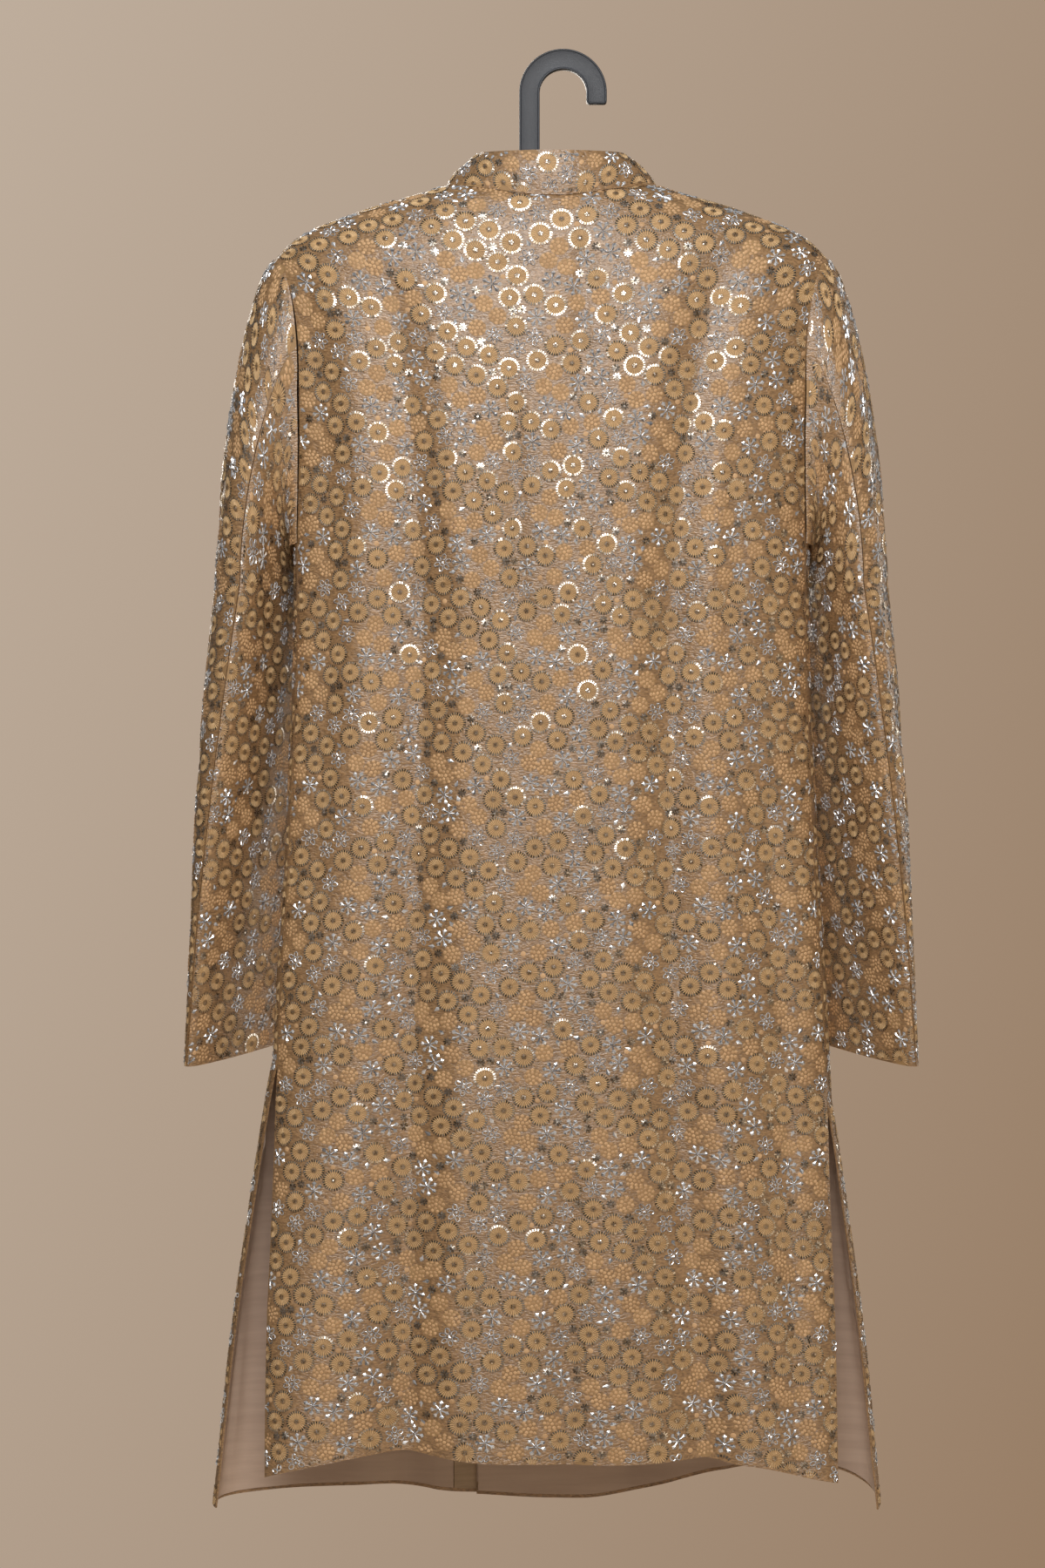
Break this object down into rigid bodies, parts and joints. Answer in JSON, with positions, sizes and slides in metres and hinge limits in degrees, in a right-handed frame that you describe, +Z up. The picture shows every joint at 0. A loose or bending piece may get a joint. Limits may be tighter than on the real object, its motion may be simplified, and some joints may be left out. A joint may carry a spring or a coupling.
{
  "type": "sherwani coat on a hanger",
  "caption": "Knee-length embroidered sherwani coat with a band collar, full sleeves and side slits, hanging on a plain suit hanger.",
  "frame": {"origin": "inner crown of the hanger's hook, where the rail bears", "axes": "+Z up, the coat's back faces -Y and its front opening +Y, the wearer's right is +X"},
  "size_m": [0.5984, 0.1888, 1.193],
  "materials": {
    "embroidered_cloth": "beige-gold silk, thread embroidered all over with sequins and beads",
    "satin_lining": "mauve-taupe satin",
    "raw_silk": "beige raw silk",
    "button_metal": "antique pale gold, domed",
    "grey_plastic": "slate grey, moulded"
  },
  "bodies": {
    "root": {"back": "embroidered_cloth", "front_left": "embroidered_cloth", "front_right": "embroidered_cloth", "sleeve_left_upper": "embroidered_cloth", "sleeve_left_under": "embroidered_cloth", "sleeve_right_upper": "embroidered_cloth", "sleeve_right_under": "embroidered_cloth", "collar": "embroidered_cloth", "lining_left": "satin_lining", "lining_right": "satin_lining", "facing_left": "raw_silk", "button_1": "button_metal", "button_2": "button_metal", "button_3": "button_metal", "button_4": "button_metal", "button_5": "button_metal", "button_6": "button_metal", "button_7": "button_metal", "button_8": "button_metal", "hanger_hook": "grey_plastic", "hanger_arms": "grey_plastic"}
  },
  "joints": []
}
